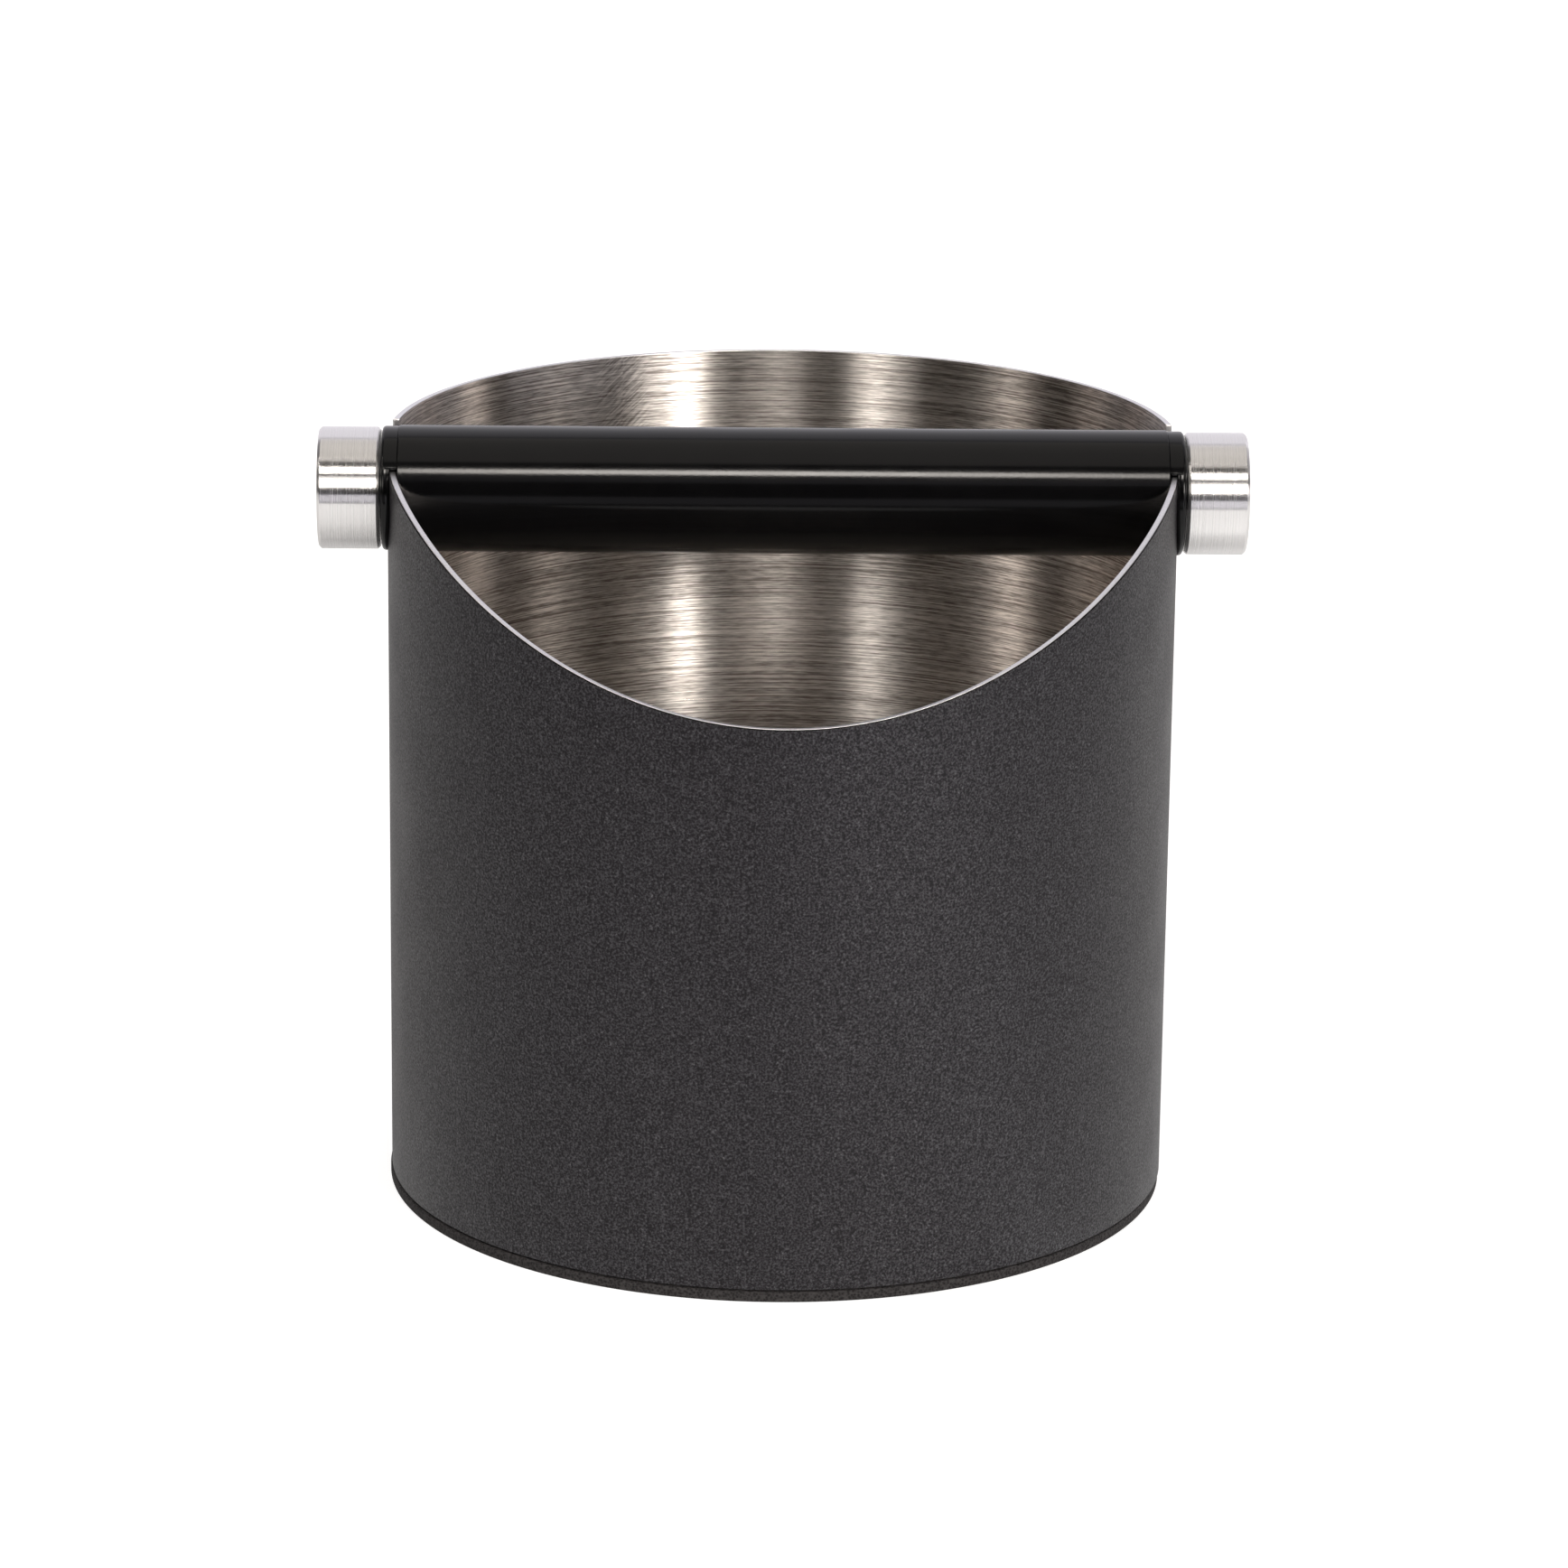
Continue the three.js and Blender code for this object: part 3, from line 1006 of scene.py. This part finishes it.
@dataclass
class KnockBar:
    """The knock bar: rubber sleeve on a steel core, with a keyed bushing and a cap at each end."""

    sleeve_round: float = 0.12
    sleeve_gap: float = 0.01  # between the sleeve's end and a bushing
    sleeve_points: int = 25  # points along the sleeve
    bore: float = 6.1  # radius of the rubber's bore
    key_half_width: float = 8.8  # the notch is cut radially, so it is 8.85 at the inner face
    wall_gap: float = 0.05  # between the bushing and the outside of the bin
    bushing_edge: float = 0.15
    flange_round: float = 0.64
    flange_steps: int = 5  # faces across its rounding
    hug_steps: int = 6  # faces from the key out to the flange's rim
    tip_angle: float = 30.5  # degrees above level where the wall's front tip ends
    tip_step: float = 0.002  # half the turn, in radians, in which the key ends there
    cap_chamfer: float = 0.5
    cap_edge: float = 0.06
    thread: float = 3.05  # radius of the tapped hole in a cap
    thread_depth: float = 7.8
    steps: int = 144
    height: float = field(init=False)
    centre: tuple = field(init=False)

    def __post_init__(self) -> None:
        """Take the bar's axis from the frame."""
        self.height = bar_height()
        self.centre = (0.0, 0.0, self.height)

    def build(self) -> None:
        """Make and dress the pieces of the bar."""
        rubber = BlackRubber().build()
        steel = TurnedSteel().build()
        self.build_sleeve(rubber)
        for side in Side:
            self.build_bushing(side, rubber)
            self.build_cap(side, steel)
        # These nodes keep their own meshes
        for node in ("core_rod", "left_stud", "right_stud"):
            for slot in bpy.data.objects[node].material_slots:
                slot.material = steel

    def build_sleeve(self, rubber: Material) -> None:
        """Rubber tube with rounded ends, turned about X, its length from bushing to bushing.

        Args:
            rubber: its material.
        """
        radius = extent("knock_sleeve")[1][2] - self.height
        end, size = extent("right_bushing")[0][0] - self.sleeve_gap, self.sleeve_round
        middle = np.linspace(-end + size, end - size, self.sleeve_points)[1:-1]
        profile = outline(
            (self.bore, -end),
            quarter(radius - size, -end + size, size, -1.0),
            np.stack([np.full(len(middle), radius), middle], -1),
            quarter(radius - size, end - size, size, 0.0),
            (self.bore, end),
        )
        piece = turned("knock_sleeve_rubber", profile, Axis.X, self.steps, self.centre, closed=True)
        dress(piece, [rubber], Body.BAR, Slot.RUBBER, "knock_sleeve")

    def key_radius(self, angle: np.ndarray, flange: float) -> np.ndarray:
        """Distance of the key's side from the bar's axis: a half circle below, straight above.

        Above the axis the straight side is the half width over the cosine. Over the front tip of
        the wall, where nothing is left to straddle, the bushing is round out to the flange.

        Args:
            angle: from +Y towards +Z, in radians.
            flange: radius of the flange.

        Returns:
            The key's radius at each angle.
        """
        sine, cosine = np.sin(angle), np.cos(angle)
        straight = self.key_half_width / np.maximum(np.abs(cosine), self.key_half_width / flange)
        over_tip = (cosine < 0) & (sine > math.sin(math.radians(self.tip_angle)))
        return np.where(over_tip, flange, np.where(sine > 0, straight, self.key_half_width))

    def build_bushing(self, side: Side, rubber: Material) -> None:
        """Keyed bushing: a profile that changes with the angle about the bar's axis.

        The profile goes from the bore up the key's inner face, out along the key's side, over the
        face that hugs the wall, along the flange's rim and down its outer face. A point on the
        wall side has the place on X where a cylinder of the bin's radius passes its own Y.

        Args:
            side: the end of the bar.
            rubber: its material.
        """
        (inner, _, bottom), (outer, _, _) = extent("right_bushing")
        flange = self.height - bottom
        wall = extent("base_pad")[1][0] + self.wall_gap
        tip = math.radians(180 - self.tip_angle)
        even = np.linspace(0, 2 * math.pi, self.steps, endpoint=False)
        step = [tip - self.tip_step, tip + self.tip_step]
        angle = np.sort(np.concatenate([even, step]))[:, None]
        key, edge = self.key_radius(angle, flange), self.bushing_edge
        hug = key + (flange - key) * np.linspace(0, 1, self.hug_steps + 1)
        bend = np.linspace(0, math.pi / 2, self.flange_steps + 1)
        size = self.flange_round
        # Each run of the profile: distance from the bar's axis, place along it
        runs = [
            (self.bore, inner),
            (key - edge, inner),
            (key, inner + edge),
            (hug, np.sqrt(wall**2 - (hug * np.cos(angle)) ** 2)),
            (flange - size + size * np.cos(bend), outer - size + size * np.sin(bend)),
            (self.bore, outer),
        ]
        section = [np.stack(np.broadcast_arrays(angle, *run)) for run in runs]
        turn, radius, place = np.concatenate(section, axis=2)
        if side is Side.LEFT:
            radius, place = radius[:, ::-1], -place[:, ::-1]
        points = np.stack([place, radius * np.cos(turn), radius * np.sin(turn)], -1)
        points = points + np.array(self.centre)
        around = np.append(angle, 2 * math.pi) * flange
        rows = np.arange(radius.shape[1] + 1.0)
        uv = np.stack(np.meshgrid(around, rows, indexing="ij"), -1) * MM
        name = side.name.lower()
        piece = grid_mesh(f"{name}_bushing_rubber", points, (True, True), uv)
        dress(piece, [rubber], Body.BAR, Slot.RUBBER, f"{name}_bushing")

    def build_cap(self, side: Side, steel: Material) -> None:
        """End cap, turned about X: chamfered at both ends, with a tapped blind hole inside.

        Args:
            side: the end of the bar.
            steel: its material.
        """
        (start, _, bottom), (end, _, _) = extent("right_end_cap")
        cut, edge = self.cap_chamfer, self.cap_edge
        slant = edge * math.sqrt(0.5)
        # Distances in from the sharp corner, from the end face round to the side
        round_corner = [(cut + edge, 0), (cut - slant, slant), (slant, cut - slant), (0, cut + edge)]
        chamfer = np.array(round_corner)
        profile = outline(
            (0, start + self.thread_depth),
            (self.thread, start + self.thread_depth),
            (self.thread, start),
            np.array([self.height - bottom, start]) + chamfer * [-1, 1],
            np.array([self.height - bottom, end]) - chamfer[::-1],
            (0, end),
        )
        name = side.name.lower()
        profile = mirrored(profile, side)
        piece = turned(f"{name}_end_cap_steel", profile, Axis.X, self.steps, self.centre)
        dress(piece, [steel], Body.BAR, Slot.TURNED, f"{name}_end_cap")


# The studio


@dataclass(frozen=True)
class Patch:
    """A soft-edged patch of light round the object, placed by the angles that it is seen at."""

    azimuth: float  # degrees to the right of straight in front, to the patch's middle
    half_width: float  # degrees
    low: float  # degrees above the horizon
    high: float
    light: float  # radiance
    side_fade: float = 2.0  # degrees that its sides fade over, inside its width and outside
    end_fade: float = 1.0  # the same for its lower and upper ends


@dataclass
class Studio:
    """Camera, table and a world that lights the object as softboxes in a pale room would."""

    lens: float = 140.85  # mm
    sensor: float = 36.0  # mm
    distance: float = 1142.5  # mm
    elevation: float = 16.174  # degrees
    roll: float = 0.638  # degrees
    swing: float = -1.0  # degrees about Z
    target: tuple = (0.80, 0.0, 75.29)  # mm
    clip: tuple = (0.05, 50.0)  # metres from the camera
    table_size: float = 3000.0  # mm
    table_front: float = 430.0  # mm, how far the table goes on in front of the object
    table_drop: float = 0.02  # mm, so that it doesn't share a plane with the pad's underside
    table_colour: str = "b4b4b4"
    table_glow: float = 0.75  # the table's own light, for the camera
    # Painted glow: emission that only reflections see, in place of the softboxes' light on the table
    painted_table_glow: tuple = (
        Patch(0, 181, -90, 90, 0.3),
        Patch(25, 122, -90, 90, 0.18, 12.0),
        Patch(20, 70, -90, 90, 0.15, 20.0),
        Patch(47, 8, -90, 90, 0.36, 8.0),
    )
    lamp_tint: str = "fff9f2"
    room_tint: str = "fbf8ff"
    lamps: tuple = (
        # The right-hand softbox, brightest at its near edge
        Patch(29, 3, 12, 26, 42.0),
        Patch(36, 8, 12, 26, 10.5),
        Patch(42, 28, 12, 26, 0.42),
        Patch(31, 7, 26, 30, 4.5),
        Patch(31, 6, 41, 49, 9.0),
        # The left-hand one, which leans outwards, and a strip far to its left
        Patch(-28, 4, 12, 26, 9.0),
        Patch(-33, 8, 12, 26, 3.2),
        Patch(-33, 6, 26, 30, 9.0),
        Patch(-33, 6, 41, 49, 16.0),
        Patch(-82, 2.5, 28, 50, 12.0, 1.5),
        Patch(80, 3, 28, 50, 3.5, 1.5),
        Patch(-66, 16, 12, 26, 0.3),
        # The overhead strip, which draws the line along the bar
        Patch(0, 5, 41.0, 48.5, 25.0),
        Patch(7, 9, 41.0, 48.5, 9.0),
        Patch(48, 26, 40.5, 49.5, 0.4),
        # The ceiling
        Patch(0, 181, 62, 95, 0.8, 2.0, 2.0),
    )
    room: tuple = (
        # Low light between the boxes and the table
        Patch(7, 10, 26, 36, 0.45),
        Patch(60, 29, -1, 10, 1.4, 4.0),
        Patch(18, 9, -30, -0.5, 1.5, 4.0, 0.5),
        Patch(0, 45, -13, -0.5, 0.45, 10.0, 0.5),
        # Back of the room
        Patch(180, 40, -95, 60, 0.9, 8.0, 8.0),
        Patch(125, 20, -95, 60, 0.55, 6.0, 8.0),
        Patch(-125, 20, -95, 60, 0.2, 6.0, 8.0),
    )

    def build(self) -> None:
        """Make the camera, the world and the table."""
        self.build_camera()
        self.build_world()
        self.build_table()
        bpy.context.scene.view_settings.view_transform = "Standard"

    def build_camera(self) -> None:
        """Camera looking back along its axis at the target, rolled, then swung about Z."""
        tilt, roll = math.radians(self.elevation), math.radians(self.roll)
        back = np.array([0, -math.cos(tilt), math.sin(tilt)])
        level = np.array([1.0, 0.0, 0.0])
        rise = np.cross(back, level)
        right = math.cos(roll) * level + math.sin(roll) * rise
        up = -math.sin(roll) * level + math.cos(roll) * rise
        place = (np.array(self.target) + back * self.distance) * MM
        pose = np.eye(4)
        pose[:3] = np.stack([right, up, back, place], -1)
        data = bpy.data.cameras.new("photo_camera")
        data.lens, data.sensor_width = self.lens, self.sensor
        data.clip_start, data.clip_end = self.clip
        camera = bpy.data.objects.new("photo_camera", data)
        bpy.context.scene.collection.objects.link(camera)
        swing = Matrix.Rotation(math.radians(self.swing), 4, "Z")
        camera.matrix_world = swing @ Matrix(pose.tolist())
        bpy.context.scene.camera = camera

    def build_world(self) -> None:
        """World: white to the camera, and the room's patches of light to everything else."""
        world = bpy.data.worlds.new("studio")
        world.use_nodes = True
        tree = world.node_tree
        tree.nodes.clear()
        direction = add(tree, "ShaderNodeTexCoord").outputs["Generated"]
        seen = add(tree, "ShaderNodeLightPath").outputs["Is Camera Ray"]
        lamps = {0: seen, 2: self.light_from(tree, direction, self.lamps), 3: 0.0}
        hidden = add(tree, "ShaderNodeMix", lamps)
        warm = {"Color": linear(self.lamp_tint), "Strength": hidden}
        lit = add(tree, "ShaderNodeBackground", warm)
        room = {0: seen, 2: self.light_from(tree, direction, self.room), 3: 1.0}
        strength = add(tree, "ShaderNodeMix", room)
        cool = {"Color": shaded(tree, seen, self.room_tint, "ffffff"), "Strength": strength}
        pale = add(tree, "ShaderNodeBackground", cool)
        both = add(tree, "ShaderNodeAddShader", {0: lit, 1: pale})
        add(tree, "ShaderNodeOutputWorld", {"Surface": both})
        bpy.context.scene.world = world

    def light_from(self, tree: NodeTree, direction: Feed, patches: tuple) -> Node:
        """Add up the patches that a direction meets.

        A patch is the product of three smooth steps: on the angle from its middle, on the height
        above its lower end and on the depth below its upper end.

        Args:
            tree: the node tree.
            direction: a vector from the object.
            patches: the patches.

        Returns:
            The radiance.
        """
        split = add(tree, "ShaderNodeSeparateXYZ", {"Vector": direction}).outputs
        front = add(tree, "ShaderNodeMath", {0: split["Y"], 1: -1.0}, operation="MULTIPLY")
        bearing = add(tree, "ShaderNodeMath", {0: split["X"], 1: front}, operation="ARCTAN2")
        azimuth = add(tree, "ShaderNodeMath", {0: bearing}, operation="DEGREES")
        rise = add(tree, "ShaderNodeMath", {0: split["Z"]}, operation="ARCSINE")
        elevation = add(tree, "ShaderNodeMath", {0: rise}, operation="DEGREES")
        total = 0.0
        for patch in patches:
            offset = {0: azimuth, 1: patch.azimuth}
            side = add(tree, "ShaderNodeMath", offset, operation="SUBTRACT")
            wrapped = {0: side, 1: 180.0, 2: -180.0}
            turn = add(tree, "ShaderNodeMath", wrapped, operation="WRAP")
            away = add(tree, "ShaderNodeMath", {0: turn}, operation="ABSOLUTE")
            light = patch.light
            for value, end, fade in (
                (away, patch.half_width, patch.side_fade),
                (elevation, patch.low, -patch.end_fade),
                (elevation, patch.high, patch.end_fade),
            ):
                step = ramp(value, end + fade, end - fade)
                soft = add(tree, "ShaderNodeMapRange", step, interpolation_type="SMOOTHSTEP")
                light = add(tree, "ShaderNodeMath", {0: soft, 1: light}, operation="MULTIPLY")
            total = add(tree, "ShaderNodeMath", {0: total, 1: light}, operation="ADD")
        return total

    def build_table(self) -> None:
        """Pale table: diffuse, so that it keeps the shadow, with some light of its own.

        The camera sees enough of that light to read the table as white. Reflections also see a
        painted glow, emission that stands in for the light that the softboxes leave on the table,
        brighter on the right.
        """
        half = self.table_size / 2
        front = -self.table_front
        across, along = np.meshgrid([-half, half], [front, half], indexing="ij")
        corners = np.stack([across, along, np.full_like(across, -self.table_drop)], -1)
        table = grid_mesh("studio_table", corners, (False, False), corners[..., :2] * MM)
        material, tree, place = new_material("studio_table_white")
        matt = {"Color": linear(self.table_colour)}
        paper = add(tree, "ShaderNodeBsdfDiffuse", matt)
        path = add(tree, "ShaderNodeLightPath").outputs
        shine = {0: path["Is Glossy Ray"], 1: self.light_from(tree, place, self.painted_table_glow)}
        painted_reflected_glow = add(tree, "ShaderNodeMath", shine, operation="MULTIPLY")
        own = {0: path["Is Camera Ray"], 1: self.table_glow, 2: painted_reflected_glow}
        strength = add(tree, "ShaderNodeMath", own, operation="MULTIPLY_ADD")
        white = {"Color": linear("ffffff"), "Strength": strength}
        glow = add(tree, "ShaderNodeEmission", white)
        both = add(tree, "ShaderNodeAddShader", {0: paper, 1: glow})
        add(tree, "ShaderNodeOutputMaterial", {"Surface": both})
        table.data.materials.append(material)


def main() -> None:
    """Build the studio, the bin and the bar."""
    logging.basicConfig(level=logging.INFO, format="%(name)s: %(message)s")
    Studio().build()
    Bin().build()
    KnockBar().build()


if __name__ == "__main__":
    main()
